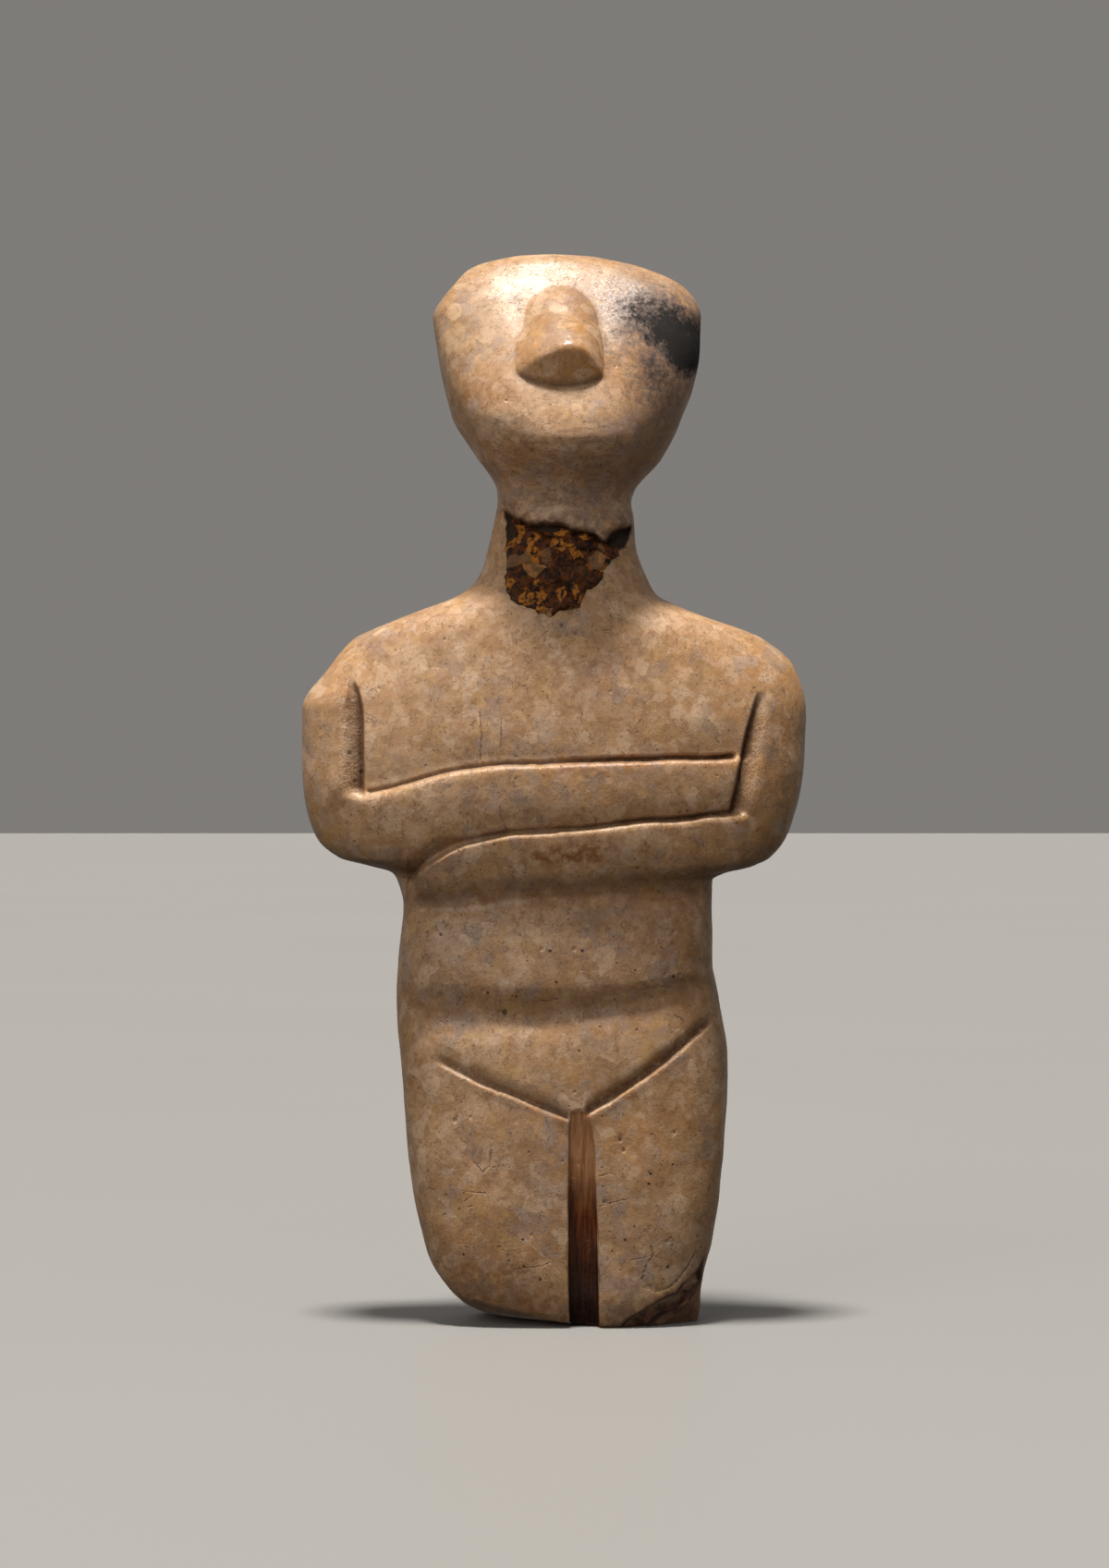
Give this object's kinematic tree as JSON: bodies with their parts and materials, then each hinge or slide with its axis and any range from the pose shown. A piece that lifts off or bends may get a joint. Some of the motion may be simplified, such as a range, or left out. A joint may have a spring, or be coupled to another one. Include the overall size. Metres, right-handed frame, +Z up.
{
  "type": "cycladic marble figurine",
  "caption": "Flat standing figure in one piece of marble, arms folded, shield-shaped head tilted back with only a nose, broken off across the thighs, old spall and crust on the neck.",
  "frame": {"origin": "centre of the figure's bounding box in plan, on the plane that the broken lower end stands on", "axes": "+Z up through the head, the figure faces -Y, +X to the right of someone looking at its face"},
  "size_m": [0.0704, 0.0276, 0.1497],
  "materials": {
    "marble": "worn waxy polish, honey and ivory patina with lilac-grey grain, dark grey burnt patch, dark brown crust on the neck"
  },
  "bodies": {
    "root": {"figurine": "marble"}
  },
  "joints": []
}
